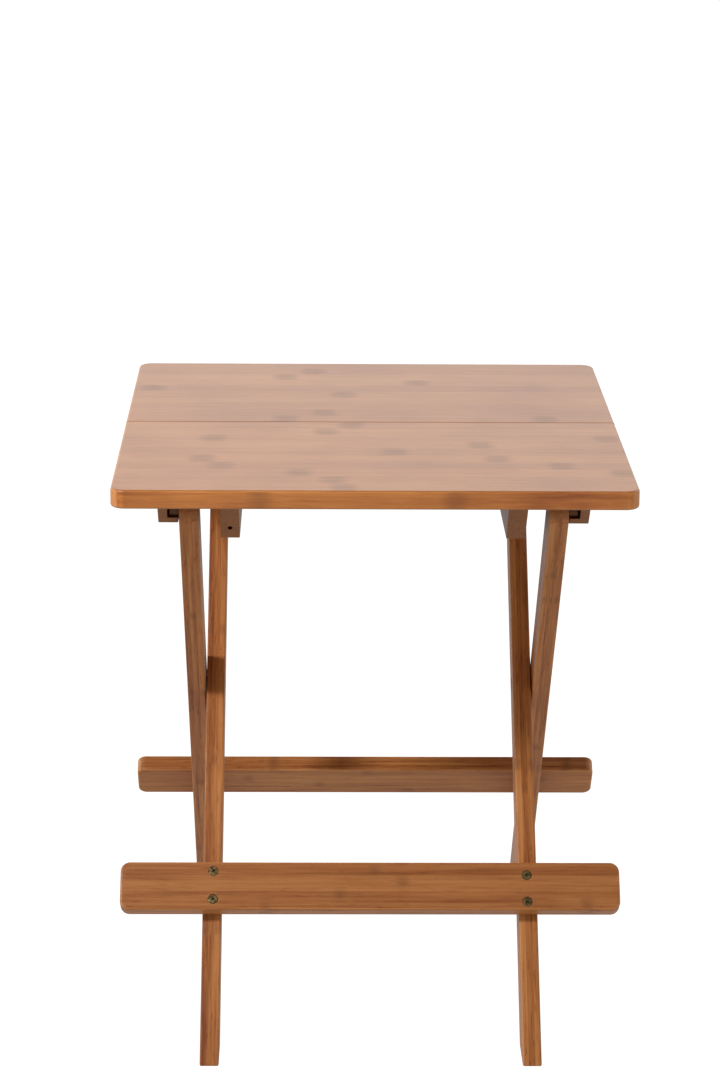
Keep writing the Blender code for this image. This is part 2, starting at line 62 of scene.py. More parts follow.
# The two frames cross at CROSS; the inner frame's legs run from there up to HINGE.
CROSS = Vector(joints["leg_fold"]["pos_m"])
HINGE = Vector(joints["top_hinge"]["pos_m"])
UPPER_LENGTH = (HINGE - CROSS).length
INNER_AXIS = (HINGE - CROSS).normalized()
OUTER_AXIS = Vector((0, -INNER_AXIS.y, INNER_AXIS.z))
INNER_FRONT = Vector((0, -INNER_AXIS.z, INNER_AXIS.y))
OUTER_BACK = Vector((0, INNER_AXIS.z, INNER_AXIS.y))

# The clearance round the hardware.
PLAY = 0.0003

# Sizes of the bars that their boxes don't give.
LEG_WIDTH = 0.032
LEG_END = 0.012
LEG_END_RADIUS = 0.012
LEG_EASING = 0.0012
BOARD_CORNER_RADIUS = 0.012
BOARD_EASING = 0.0022
SEAM_EASING = 0.0003
STRETCHER_HEIGHT = 0.0415
STRETCHER_THICKNESS = 0.015
STRETCHER_CORNER_RADIUS = 0.008
STRETCHER_EASING = 0.0018
BATTEN_EASING = 0.0008
GROOVE_HEIGHT = 0.011
GROOVE_DEPTH = 0.0087
PEG_HOLE_RADIUS = 0.002
PEG_HOLE_DEPTH = 0.012
PEG_HOLE_DROP = 0.0351
COUNTERBORE_RADIUS = 0.0048

# Hardware.
HEAD_RADIUS = 0.0065
HEAD_THICKNESS = 0.0024
SLEEVE_RADIUS = 0.004
SLEEVE_LENGTH = 0.022
BOLT_RADIUS = 0.0027
HEX_SOCKET_RADIUS = 0.0023
HEX_SOCKET_DEPTH = 0.0015
HEX_SOCKET_POINT = 0.00195
PIN_EASING = 0.0008
PIN_EASING_BULGE = 0.3 * PIN_EASING
STRETCHER_SCREW = {"head": 0.0041, "shank": 0.0018, "length": 0.032, "recess": 0.0046}
INNER_BATTEN_SCREW = {"head": 0.0038, "shank": 0.0018, "length": 0.038, "recess": 0.0042}
OUTER_BATTEN_SCREW = {"head": 0.0029, "shank": 0.0014, "length": 0.040, "recess": 0.0034}
HEAD_RIM = 0.0003
SCREW_TIP = 0.006
RECESS_WIDTH = 0.0009
RECESS_DEPTH = 0.0018
RECESS_TAPER = 0.4

# The round well in the middle of a cross recess, as shares of the recess's span and depth.
WELL_MOUTH = 0.27
WELL_FLOOR = 0.2
WELL_DEPTH = 1.2

# Cutters stand out this far past the faces that they cut.
OVERSHOOT = 0.001

ROUND_SEGMENTS = 56
WELL_SEGMENTS = 24
CORNER_SEGMENTS = 14
EASING_SEGMENTS = 5
SHARP_ANGLE = radians(32)
SAME_POINT = 1e-6
SAME_HEIGHT = 1e-5


# ---- shaping ---------------------------------------------------------------------------------


def rounded(corners):
    """The outline through (u, v, radius) corners, each rounded to its radius."""
    outline = []
    for index, (u, v, radius) in enumerate(corners):
        corner = Vector((u, v))
        if not radius:
            outline.append(corner)
            continue
        before = (Vector(corners[index - 1][:2]) - corner).normalized()
        after = (Vector(corners[(index + 1) % len(corners)][:2]) - corner).normalized()
        half = before.angle(after) / 2
        centre = corner + (before + after).normalized() * radius / sin(half)
        start = (corner + before * radius / tan(half) - centre).normalized()
        end = (corner + after * radius / tan(half) - centre).normalized()
        for step in range(CORNER_SEGMENTS + 1):
            outline.append(centre + start.slerp(end, step / CORNER_SEGMENTS) * radius)
    return outline


def axes(u, v, w, origin=(0, 0, 0)):
    """The matrix that takes (u, v, w) coordinates to the row frame."""
    columns = Matrix((u, v, w)).transposed().to_4x4()
    return Matrix.Translation(origin) @ columns


def swept(outline, limits, place):
    """A closed outline of (u, v) points, swept along w between two limits and then placed."""
    shape = bmesh.new()
    near, far = ([shape.verts.new((u, v, w)) for u, v in outline] for w in limits)
    shape.faces.new(near)
    shape.faces.new(far)
    for index in range(len(outline)):
        shape.faces.new((near[index - 1], near[index], far[index], far[index - 1]))
    bmesh.ops.transform(shape, matrix=place, verts=shape.verts)
    bmesh.ops.recalc_face_normals(shape, faces=shape.faces)
    return shape


def facing(direction, point):
    """Places a shape made along Z so that its +Z points along direction from point."""
    turn = Vector(direction).to_track_quat("Z", "Y").to_matrix().to_4x4()
    return Matrix.Translation(point) @ turn


def turned(profile, place, segments=ROUND_SEGMENTS):
    """A round solid: (radius, height) points, turned about Z and then placed."""
    shape = bmesh.new()
    points = [shape.verts.new((radius, 0, height)) for radius, height in profile]
    outline = [shape.edges.new(pair) for pair in zip(points, points[1:])]
    if profile[0][0] > 0:
        outline.append(shape.edges.new((points[-1], points[0])))
    bmesh.ops.spin(
        shape,
        geom=points + outline,
        cent=(0, 0, 0),
        axis=(0, 0, 1),
        angle=2 * pi,
        steps=segments,
        use_merge=True,
    )
    bmesh.ops.remove_doubles(shape, verts=shape.verts, dist=SAME_POINT)
    bmesh.ops.transform(shape, matrix=place, verts=shape.verts)
    bmesh.ops.recalc_face_normals(shape, faces=shape.faces)
    return shape


def eased_rim(radius, easing):
    """Profile points of a head's rounded rim, outwards and down from its face at height 0."""
    return [(radius - 2 * easing, 0), (radius - 0.6 * easing, -0.25 * easing), (radius, -easing)]


def as_object(name, shapes):
    """Puts closed shapes into one new object and frees them."""
    mesh = bpy.data.meshes.new(name)
    whole = bmesh.new()
    for shape in shapes:
        single = bpy.data.meshes.new(name)
        shape.to_mesh(single)
        shape.free()
        whole.from_mesh(single)
        bpy.data.meshes.remove(single)
    whole.to_mesh(mesh)
    whole.free()
    made = bpy.data.objects.new(name, mesh)
    bpy.context.scene.collection.objects.link(made)
    return made


def finished_mesh(name, shape, easing, holes):
    """The mesh of a shape with its arrises eased and its holes cut."""
    blank = as_object(name, [shape])
    helpers = [blank]
    if easing:
        bevel = blank.modifiers.new("eased_edges", "BEVEL")
        bevel.width = easing
        bevel.segments = EASING_SEGMENTS
        weighted = "bevel_weight_edge" in blank.data.attributes
        bevel.limit_method = "WEIGHT" if weighted else "ANGLE"
        bevel.angle_limit = SHARP_ANGLE
    if holes:
        cutter = as_object(name + "_holes", holes)
        helpers.append(cutter)
        boolean = blank.modifiers.new("holes", "BOOLEAN")
        boolean.operation = "DIFFERENCE"
        boolean.solver = "EXACT"
        boolean.use_self = True
        boolean.object = cutter
    bpy.context.view_layer.update()
    graph = bpy.context.evaluated_depsgraph_get()
    mesh = bpy.data.meshes.new_from_object(blank.evaluated_get(graph))
    for helper in helpers:
        bpy.data.objects.remove(helper, do_unlink=True)
    mesh.shade_smooth()
    mesh.set_sharp_from_angle(angle=SHARP_ANGLE)
    return mesh


def show(node, mesh, material, body):
    """Puts a detailed mesh in the place of a CAD node."""
    made = bpy.data.objects.new(node + "_detailed", mesh)
    bpy.context.scene.collection.objects.link(made)
    made.data.materials.append(material)
    smooth = made.modifiers.new("even_shading", "WEIGHTED_NORMAL")
    smooth.keep_sharp = True
    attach(made, body)
    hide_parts(node)


# ---- shaders ---------------------------------------------------------------------------------


class Nodes:
    """Short ways to add nodes to a tree and to link them."""

    def __init__(self, tree):
        self.tree = tree

    def feed(self, node, inputs):
        for key, value in inputs.items():
            if isinstance(value, bpy.types.NodeSocket):
                self.tree.links.new(value, node.inputs[key])
            else:
                node.inputs[key].default_value = value

    def node(self, kind, inputs=None, **settings):
        made = self.tree.nodes.new(kind)
        for key, value in settings.items():
            setattr(made, key, value)
        self.feed(made, inputs or {})
        return made

    def math(self, operation, *values, clamp=False):
        inputs = dict(enumerate(values))
        return self.node("ShaderNodeMath", inputs, operation=operation, use_clamp=clamp).outputs[0]

    def plus(self, first, second):
        return self.math("ADD", first, second)

    def minus(self, first, second):
        return self.math("SUBTRACT", first, second)

    def times(self, first, second):
        return self.math("MULTIPLY", first, second)

    def over(self, first, second):
        return self.math("DIVIDE", first, second)

    def off(self, first, second):
        """How far two values are apart."""
        return self.math("ABSOLUTE", self.minus(first, second))

    def between(self, value, start, end, low=0.0, high=1.0):
        """Goes smoothly from low to high while value goes from start to end."""
        inputs = {"Value": value, "From Min": start, "From Max": end, "To Min": low, "To Max": high}
        made = self.node("ShaderNodeMapRange", inputs, interpolation_type="SMOOTHSTEP")
        return made.outputs["Result"]

    def vector_math(self, operation, first, second):
        return self.node("ShaderNodeVectorMath", {0: first, 1: second}, operation=operation)

    def along(self, place, direction):
        return self.vector_math("DOT_PRODUCT", place, direction).outputs["Value"]

    def faces(self, normal, direction):
        """1 where the surface faces along direction or against it, and 0 where it is parallel."""
        return self.math("ABSOLUTE", self.along(normal, direction))

    def point(self, *values):
        return self.node("ShaderNodeCombineXYZ", dict(enumerate(values))).outputs[0]

    def noise(self, place, scale, detail, roughness):
        inputs = {"Vector": place, "Scale": scale, "Detail": detail, "Roughness": roughness}
        return self.node("ShaderNodeTexNoise", inputs).outputs["Fac"]

    def chance(self, place):
        """A random number between 0 and 1 for each place."""
        return self.node("ShaderNodeTexWhiteNoise", {"Vector": place}).outputs["Value"]

    def mix(self, factor, first, second, blend="MIX"):
        inputs = {0: factor, 6: first, 7: second}
        made = self.node("ShaderNodeMix", inputs, data_type="RGBA", blend_type=blend)
        return made.outputs[2]

    def ramp(self, factor, stops, interpolation="LINEAR"):
        """A colour for each (place, colour) stop."""
        made = self.node("ShaderNodeValToRGB", {"Fac": factor})
        band = made.color_ramp
        band.interpolation = interpolation
        while len(band.elements) < len(stops):
            band.elements.new(1.0)
        for element, (place, colour) in zip(band.elements, stops):
            element.position = place
            element.color = colour
        return made.outputs["Color"]

    def bump(self, height, strength, distance):
        inputs = {"Height": height, "Strength": strength, "Distance": distance}
        return self.node("ShaderNodeBump", inputs).outputs["Normal"]


class Shader(Nodes):
    """The nodes of a new material."""

    def __init__(self, name):
        self.material = bpy.data.materials.new(name)
        self.material.use_nodes = True
        super().__init__(self.material.node_tree)
        self.surface = self.tree.nodes["Principled BSDF"]


def rgb(red, green, blue):
    return (red, green, blue, 1.0)


# The bamboo's colours, those of its cut ends, and the painted shade in the seam between the boards.
PALE = rgb(0.540, 0.220, 0.068)
MIDDLE = rgb(0.385, 0.134, 0.034)
DARK = rgb(0.200, 0.050, 0.011)
KNOT = rgb(0.150, 0.058, 0.022)
GLUE = rgb(0.180, 0.055, 0.016)
SEAM_SHADE = rgb(0.045, 0.016, 0.006)
END_PALE = rgb(0.42, 0.17, 0.060)
END_DARK = rgb(0.17, 0.053, 0.017)
UNTINTED = rgb(1.0, 1.0, 1.0)

# The strips that a bar is glued up from, and the glue lines round them. A stretcher's strips are
# counted from a start this far below its middle, a leg's from this far in front of its middle, and
# a batten's from this far below its underside.
BAR_STRIP = 0.0098
BAR_LAYERS = 3
STRETCHER_STRIPS_START = 0.030
LEG_STRIPS_START = 0.025
BATTEN_STRIPS_START = 0.004
LAYER_STAGGER = 0.45
STRIP_LINE = 0.00025
LAYER_LINE = 0.00020

# How squarely a surface faces sideways or along the grain where it starts to count as a narrow
# long side or a cut end, and where it fully counts.
NARROW_SIDE = (0.6, 0.9)
CUT_END = (0.45, 0.65)

# The fibre patterns: how often each varies in a metre along and across the grain, and its detail.
# STRIP_SHIFT sets the strips' patterns apart.
BANDS = (4.5, 130.0, 3.0)
STREAKS = (14.0, 420.0, 3.0)
FIBRES = (45.0, 1500.0, 2.0)
FLECKS = (70.0, 700.0, 2.0)
FLECK_LEVELS = (0.58, 0.72)
STRIP_SHIFT = 40.0
CLOUDS_PER_METRE = 11.0
BUNDLES_PER_METRE = 1250.0
BUNDLE_REACH = (0.12, 0.42)

# How much each pattern shows, from pale at 0 to dark at 1, and how glossy the lacquer is. The top
# is evener and glossier than the bars, and its culm joints are longer and clearer.
TOP_LOOK = {
    "shade": 0.44,
    "bands": 0.40,
    "streaks": 0.22,
    "fibres": 0.30,
    "cloud": 0.55,
    "tone": 0.18,
    "flecks": 0.10,
    "joint": 0.14,
    "joint_length": 0.0085,
    "joint_core": 0.08,
    "ior": 1.46,
    "coat": 0.12,
}
BAR_LOOK = {
    "shade": 0.39,
    "bands": 1.50,
    "streaks": 1.20,
    "fibres": 0.55,
    "cloud": 0.40,
    "tone": 0.52,
    "flecks": 0.35,
    "joint": 0.05,
    "joint_length": 0.003,
    "joint_core": 0.30,
    "ior": 1.34,
    "coat": 0.04,
}

# The boards' long edges show the patterns more strongly and a little paler than their faces.
EDGE_CONTRAST = 2.0
EDGE_JOINT = 0.18
EDGE_PALER = 0.10

# How much of their own colour the glue lines and cut ends take on, and how strongly the painted
# shade shows in the seam between the boards.
GLUE_SHARE = 0.25
END_SHARE = 0.8
END_GLUE_SHARE = 0.6
SEAM_SHADE_SHARE = 0.16
SEAM_REACH = (0.0018, 0.0006)

# The lacquer's roughness, and how much the patterns add to it.
LACQUER_ROUGHNESS = 0.34
FIBRE_ROUGHNESS = 0.14
JOINT_ROUGHNESS = 0.08
END_ROUGHNESS = 0.16
SEAM_ROUGHNESS = 0.35

# How far the fibres stand up, and the glue lines and joints sink in, beside the streaks.
FIBRE_RELIEF = 0.5
LINE_RELIEF = 0.4
JOINT_RELIEF = 0.5

# The culm joints that show on each strip of the top, from the front strip to the rear one, in
# metres to the right of the middle.
TOP_JOINTS = (
    (-0.025,),
    (-0.034,),
    (-0.061, 0.201),
    (-0.125, 0.153),
    (-0.140, 0.102),
    (0.018,),
    (0.090,),
    (-0.133, 0.198),
    (-0.039,),
    (-0.017,),
    (-0.073, 0.151),
    (-0.040,),
    (),
    (),
    (-0.022,),
    (-0.192,),
    (0.044,),
    (-0.075,),
    (-0.049,),
    (),
)
TOP_STRIPS = len(TOP_JOINTS)

# A strip with fewer joints than two has the others here, past the board's end.
BEYOND = 0.45

# The joints on the boards' long edges.
EDGE_JOINTS = (-0.092, 0.063)

# The bars' joints are evenly spaced in each strip, from a random start.
JOINT_SPACING = 0.27
JOINT_SEED = 3.7

# The seeds that make the strips of one bar differ from another's. A left bar's is one below this
# and a right bar's one above it, and the two battens of a side share theirs.
TOP_SEED = 1.0
FRONT_SEED = 4.0
REAR_SEED = 7.0
OUTER_LEG_SEED = 17.0
BATTEN_SEED = 23.0
INNER_LEG_SEED = 31.0

# A joint is a smudge round a thin dark core, as wide as its strip. The streaks pull its ends out.
JOINT_WANDER = 0.012
JOINT_STRIP_SHARE = 0.62
JOINT_OUTER_SHARE = 0.30
JOINT_INNER_REACH = 0.005
JOINT_CORE_REACH = (0.0035, 0.0008)
JOINT_BANDING = 0.40


class Bamboo(Shader):
    """The patterns of laminated carbonized bamboo, as nodes of a new material.

    grain, across and through are the bar's directions; strip and layer are its strips' width and
    thickness, counted from the start place.
    """

    def __init__(self, name, look, grain, across, through, strip, layer, start, seed):
        super().__init__(name)
        self.look = look
        self.strip = strip
        self.seed = seed
        coordinates = self.node("ShaderNodeTexCoord").outputs
        normal = coordinates["Normal"]
        place = self.vector_math("SUBTRACT", coordinates["Object"], start).outputs[0]
        self.g, self.a, self.t = (self.along(place, way) for way in (grain, across, through))
        self.on_narrow = self.between(self.faces(normal, across), *NARROW_SIDE)
        self.on_end = self.between(self.faces(normal, grain), *CUT_END)

        # Every other layer is shifted sideways, so that no glue lines run through two layers.
        layers = self.over(self.t, layer)
        layer_number = self.math("FLOOR", layers)
        stagger = self.times(self.math("MODULO", layer_number, 2.0), LAYER_STAGGER)
        self.strips = self.plus(self.over(self.a, strip), stagger)
        self.strip_number = self.math("FLOOR", self.strips)
        strip_line = self.glue_line(self.strips, STRIP_LINE / strip)
        layer_line = self.glue_line(layers, LAYER_LINE / layer)
        self.lines = self.math("MAXIMUM", strip_line, layer_line)

        self.tone = self.chance(self.point(self.strip_number, layer_number, seed))
        self.patterns = {
            "bands": self.fibre(*BANDS),
            "streaks": self.fibre(*STREAKS),
            "fibres": self.fibre(*FIBRES),
            "cloud": self.noise(place, CLOUDS_PER_METRE, detail=2.0, roughness=0.5),
            "tone": self.tone,
        }

    def glue_line(self, cells, width):
        """1 on the line between two cells and 0 a little way off it; cells counts them."""
        part = self.math("FRACT", cells)
        off = self.math("MINIMUM", part, self.minus(1.0, part))
        return self.between(off, width, 0.0)

    def fibre(self, along_scale, across_scale, detail):
        """Noise drawn out along the grain, different in each strip."""
        stretched = self.point(
            self.plus(self.times(self.g, along_scale), self.times(self.tone, STRIP_SHIFT)),
            self.times(self.a, across_scale),
            self.times(self.t, across_scale),
        )
        return self.noise(stretched, 1.0, detail, roughness=0.6)

    def nearest_joint(self):
        """Distance along the grain from the nearest culm joint of a bar's strip."""
        start = self.chance(self.point(self.strip_number, self.seed + JOINT_SEED, 0.0))
        turn = self.plus(self.over(self.g, JOINT_SPACING), start)
        return self.times(self.off(self.math("FRACT", turn), 0.5), JOINT_SPACING)

    def nearest_top_joint(self):
        """The same for the top, where each joint's place is given.

        A colour ramp holds the places, moved up by half a metre because it can't go below 0.
        """
        across = self.over(self.plus(self.strip_number, 0.5), float(TOP_STRIPS))
        distances = []
        for pick in (0, 1):
            stops = []
            for number, shown in enumerate(TOP_JOINTS):
                level = 0.5 + (*shown, BEYOND, BEYOND)[pick]
                stops.append((number / TOP_STRIPS, rgb(level, level, level)))
            level = self.ramp(across, stops, "CONSTANT")
            distances.append(self.off(self.plus(self.g, 0.5), level))
        distance = self.math("MINIMUM", *distances)
        edge_distance = self.math("MINIMUM", *(self.off(self.g, joint) for joint in EDGE_JOINTS))
        change = self.minus(edge_distance, distance)
        return self.plus(distance, self.times(change, self.on_narrow))

    def joint(self, distance):
        """The smudge and the core of a joint at that distance, each from 0 to 1."""
        wander = self.times(self.minus(self.patterns["streaks"], 0.5), JOINT_WANDER)
        distance = self.plus(distance, wander)
        off_middle = self.off(self.math("FRACT", self.strips), 0.5)
        sideways = self.times(off_middle, self.strip * JOINT_STRIP_SHARE)
        squares = (self.times(distance, distance), self.times(sideways, sideways))
        reach = self.math("SQRT", self.plus(*squares))
        outer_reach = self.strip * JOINT_OUTER_SHARE + self.look["joint_length"]
        smudge = self.between(reach, outer_reach, JOINT_INNER_REACH)
        return smudge, self.between(reach, *JOINT_CORE_REACH)

    def shade(self, top):
        """How dark the wood is, from 0 to 1."""
        shade = self.look["shade"]
        for pattern, value in self.patterns.items():
            change = self.times(self.minus(value, 0.5), self.look[pattern])
            if top:
                contrast = self.plus(1.0, self.times(self.on_narrow, EDGE_CONTRAST))
                change = self.times(change, contrast)
            shade = self.plus(shade, change)
        if top:
            shade = self.minus(shade, self.times(self.on_narrow, EDGE_PALER))
        flecks = self.between(self.fibre(*FLECKS), *FLECK_LEVELS)
        return self.plus(shade, self.times(flecks, self.look["flecks"]))

    def end_colour(self, share):
        """The colour of a cut end, which shows the fibre bundles as dots."""
        bundles = self.node(
            "ShaderNodeTexVoronoi",
            {"Vector": self.point(0.0, self.a, self.t), "Scale": BUNDLES_PER_METRE},
        ).outputs["Distance"]
        colour = self.mix(self.between(bundles, *BUNDLE_REACH), END_DARK, END_PALE)
        colour = self.mix(self.times(self.lines, END_GLUE_SHARE), colour, GLUE)
        return self.mix(1.0, colour, rgb(share, share, share), "MULTIPLY")


def bamboo(name, *layout, top=False, tint=UNTINTED, narrow=UNTINTED, ends=1.0):
    """Laminated bamboo under satin lacquer, with the layout that Bamboo takes.

    tint colours all of it, narrow its narrow long sides, and ends its cut ends.
    """
    look = TOP_LOOK if top else BAR_LOOK
    wood = Bamboo(name, look, *layout)
    fibres = wood.patterns["fibres"]
    smudge, core = wood.joint(wood.nearest_top_joint() if top else wood.nearest_joint())
    strength = wood.plus(look["joint"], wood.times(wood.patterns["bands"], JOINT_BANDING))
    if top:
        strength = wood.plus(strength, wood.times(wood.on_narrow, EDGE_JOINT))
    knot = wood.math("MULTIPLY", smudge, strength, clamp=True)

    colour = wood.ramp(wood.shade(top), ((0.0, PALE), (0.5, MIDDLE), (1.0, DARK)))
    colour = wood.mix(knot, colour, KNOT)
    colour = wood.mix(wood.times(core, look["joint_core"]), colour, GLUE)
    colour = wood.mix(wood.times(wood.lines, GLUE_SHARE), colour, GLUE)
    rough = wood.plus(LACQUER_ROUGHNESS, wood.times(fibres, FIBRE_ROUGHNESS))
    rough = wood.plus(rough, wood.times(knot, JOINT_ROUGHNESS))
    rough = wood.plus(rough, wood.times(wood.on_end, END_ROUGHNESS))
    if top:
        # The seam between the two boards is painted dark: painted shade in the crack between them.
        # It is also made rougher there.
        off_seam = wood.times(wood.off(wood.strips, TOP_STRIPS / 2), wood.strip)
        seam = wood.between(off_seam, *SEAM_REACH)
        colour = wood.mix(wood.times(seam, SEAM_SHADE_SHARE), colour, SEAM_SHADE)
        rough = wood.plus(rough, wood.times(seam, SEAM_ROUGHNESS))
    colour = wood.mix(wood.times(wood.on_end, END_SHARE), colour, wood.end_colour(ends))
    colour = wood.mix(1.0, colour, tint, "MULTIPLY")
    colour = wood.mix(wood.on_narrow, colour, narrow, "MULTIPLY")

    height = wood.plus(wood.times(fibres, FIBRE_RELIEF), wood.patterns["streaks"])
    height = wood.minus(height, wood.times(wood.lines, LINE_RELIEF))
    height = wood.minus(height, wood.times(core, JOINT_RELIEF))
    wood.feed(
        wood.surface,
        {
            "Base Color": colour,
            "Roughness": rough,
            "Normal": wood.bump(height, strength=0.12, distance=0.0003),
            "IOR": look["ior"],
            "Coat Weight": look["coat"],
            "Coat Roughness": 0.22,
            "Coat IOR": 1.40,
        },
    )
    return wood.material


# Plated metal: how gradually it goes from rubbed to stained, its fine grain, and how much rougher
# the stained metal is.
STAIN_BLUR = 0.14
FINE_GRAIN = 6
FINE_SHARE = 0.35
STAIN_ROUGHNESS = 0.16
RUBBED_SMOOTHNESS = 0.20


def metal(name, bright, dull, stain_level, roughness, stains_per_metre):
    """Plated metal: brighter where it is rubbed, and duller and rougher where it is stained."""
    shader = Shader(name)
    place = shader.node("ShaderNodeTexCoord").outputs["Object"]
    stain = shader.noise(place, stains_per_metre, detail=5.0, roughness=0.65)
    rubbed = shader.between(stain, stain_level - STAIN_BLUR, stain_level + STAIN_BLUR)
    fine = shader.noise(place, stains_per_metre * FINE_GRAIN, detail=2.0, roughness=0.5)
    colour = shader.mix(rubbed, dull, bright)
    colour = shader.mix(shader.times(fine, FINE_SHARE), colour, dull)
    smoothness = shader.times(rubbed, RUBBED_SMOOTHNESS)
    shader.feed(
        shader.surface,
        {
            "Base Color": colour,
            "Metallic": 1.0,
            "Roughness": shader.minus(roughness + STAIN_ROUGHNESS, smoothness),
            "Normal": shader.bump(fine, strength=0.25, distance=0.0001),
        },
    )
    return shader.material


# The dowels' pores: how often they vary in a metre along X, Y and Z, and their colours.
PORES = (60.0, 900.0, 900.0)
PORE_DARK = rgb(0.13, 0.055, 0.022)
PORE_PALE = rgb(0.25, 0.115, 0.05)
DOWEL_ROUGHNESS = 0.55
PORE_ROUGHNESS = 0.20


def dowel_wood(name):
    """Plain hardwood turned across its pores, with its grain along X."""
    shader = Shader(name)
    place = shader.node("ShaderNodeTexCoord").outputs["Object"]
    stretched = shader.vector_math("MULTIPLY", place, PORES).outputs[0]
    pores = shader.noise(stretched, 1.0, detail=3.0, roughness=0.6)
    shader.feed(
        shader.surface,
        {
            "Base Color": shader.mix(pores, PORE_DARK, PORE_PALE),
            "Roughness": shader.plus(DOWEL_ROUGHNESS, shader.times(pores, PORE_ROUGHNESS)),
            "Normal": shader.bump(pores, strength=0.3, distance=0.0002),
            "IOR": 1.34,
        },
    )
    return shader.material


# ---- materials -------------------------------------------------------------------------------

BOARD_LOW, BOARD_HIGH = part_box("top_board_front")
REAR_BOARD_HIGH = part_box("top_board_rear")[1]
UNDERSIDE = BOARD_LOW.z
TOP_STRIP = (REAR_BOARD_HIGH.y - BOARD_LOW.y) / TOP_STRIPS
BOARD_LAYER = BOARD_HIGH.z - BOARD_LOW.z + PLAY

top_bamboo = bamboo(
    "bamboo_top",
    X,
    Y,
    Z,
    TOP_STRIP,
    BOARD_LAYER,
    (0, BOARD_LOW.y, BOARD_LOW.z),
    TOP_SEED,
    top=True,
    tint=rgb(1.00, 1.05, 1.00),
    narrow=rgb(1.33, 1.16, 0.89),
    # The cut ends and round corners are painted lighter: partly their end grain, and partly a
    # painted highlight.
    ends=1.5,
)
brass = metal(
    "antique_brass",
    bright=rgb(0.40, 0.285, 0.12),
    dull=rgb(0.075, 0.054, 0.027),
    stain_level=0.54,
    roughness=0.40,
    stains_per_metre=420.0,
)
zinc = metal(
    "zinc_steel",
    bright=rgb(0.62, 0.61, 0.58),
    dull=rgb(0.33, 0.32, 0.30),
    stain_level=0.42,
    roughness=0.30,
    stains_per_metre=300.0,
)
dowel = dowel_wood("dowel_wood")


# ---- boards ----------------------------------------------------------------------------------


def board(node, side):
    """A board with two round corners and eased arrises, which are sharper along the seam."""
    low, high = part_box(node)
    outer, inner = (low.y, high.y) if side < 0 else (high.y, low.y)
    corners = (
        (low.x, inner, 0),
        (low.x, outer, BOARD_CORNER_RADIUS),
        (high.x, outer, BOARD_CORNER_RADIUS),
        (high.x, inner, 0),
    )
    shape = swept(rounded(corners), (low.z, high.z), axes(X, Y, Z))
    weights = shape.edges.layers.float.new("bevel_weight_edge")
    for edge in shape.edges:
        if edge.calc_face_angle() > SHARP_ANGLE:
            at_seam = all(abs(vert.co.y - inner) < PLAY for vert in edge.verts)
            edge[weights] = SEAM_EASING / BOARD_EASING if at_seam else 1.0
    mesh = finished_mesh(node, shape, BOARD_EASING, [])
    show(node, mesh, top_bamboo, "top")


board("top_board_front", -1)
board("top_board_rear", 1)


# ---- screws ----------------------------------------------------------------------------------


def head_centre(node, direction):
    """The middle of the end of a CAD screw that faces along direction."""
    points = [vertex.co for vertex in nodes[node].data.vertices]
    furthest = max(point.dot(direction) for point in points)
    rim = [point for point in points if furthest - point.dot(direction) < SAME_HEIGHT]
    low = Vector([min(point[axis] for point in rim) for axis in range(3)])
    high = Vector([max(point[axis] for point in rim) for axis in range(3)])
    return (low + high) / 2


def screw_seat(size, place, above=OVERSHOOT, mouth=None):
    """The countersink for a screw's head, open for a length above it."""
    head = size["head"] + PLAY
    shank = size["shank"] + PLAY
    cone = size["head"] - size["shank"]
    profile = [(0, above), (mouth or head, above)]
    if mouth:
        profile += [(mouth, 0), (head, 0)]
    profile += [(head, -HEAD_RIM), (shank, -HEAD_RIM - cone), (shank, -2 * cone), (0, -2 * cone)]
    return turned(profile, place)


def screw_mesh(size):
    """A countersunk screw with a cross recess, its head's top at the origin and facing +Z."""
    head, shank, length = size["head"], size["shank"], size["length"]
    profile = [
        (0, 0),
        *eased_rim(head, HEAD_RIM),
        (shank, -HEAD_RIM - (head - shank)),
        (shank, SCREW_TIP - length),
        (0, -length),
    ]
    blank = turned(profile, Matrix.Identity(4))
    blades = []
    for long_axis in (0, 1):
        half = [RECESS_WIDTH / 2, RECESS_WIDTH / 2]
        half[long_axis] = size["recess"] / 2
        blade = bmesh.new()
        bmesh.ops.create_cube(blade, size=2)
        for vert in blade.verts:
            taper = RECESS_TAPER if vert.co.z < 0 else 1.0
            vert.co.x *= half[0] * taper
            vert.co.y *= half[1] * taper
            vert.co.z = -RECESS_DEPTH if vert.co.z < 0 else OVERSHOOT
        blades.append(blade)
    well = [
        (0, OVERSHOOT),
        (size["recess"] * WELL_MOUTH, OVERSHOOT),
        (size["recess"] * WELL_FLOOR, 0),
        (0, -RECESS_DEPTH * WELL_DEPTH),
    ]
    blades.append(turned(well, Matrix.Identity(4), WELL_SEGMENTS))
    return finished_mesh("screw", blank, 0, blades)


screw_meshes = {}


def screw(node, size, direction, body, material, twist):
    """Puts a detailed screw where a CAD screw is, its cross turned by twist; returns its place."""
    key = size["length"]
    if key not in screw_meshes:
        screw_meshes[key] = screw_mesh(size)
    mesh = screw_meshes[key].copy()
    place = facing(direction, head_centre(node, direction))
    mesh.transform(place @ Matrix.Rotation(twist, 4, "Z"))
    show(node, mesh, material, body)
    return place


# How far each screw's cross is turned, in radians.
FRONT_TWISTS = (0.35, 0.75, 0.10, 0.60)
REAR_TWISTS = (0.20, 0.95, 0.50, 0.05)
BATTEN_TWISTS = (0.15, 0.80, 0.40, 1.05)


# ---- stretchers ------------------------------------------------------------------------------


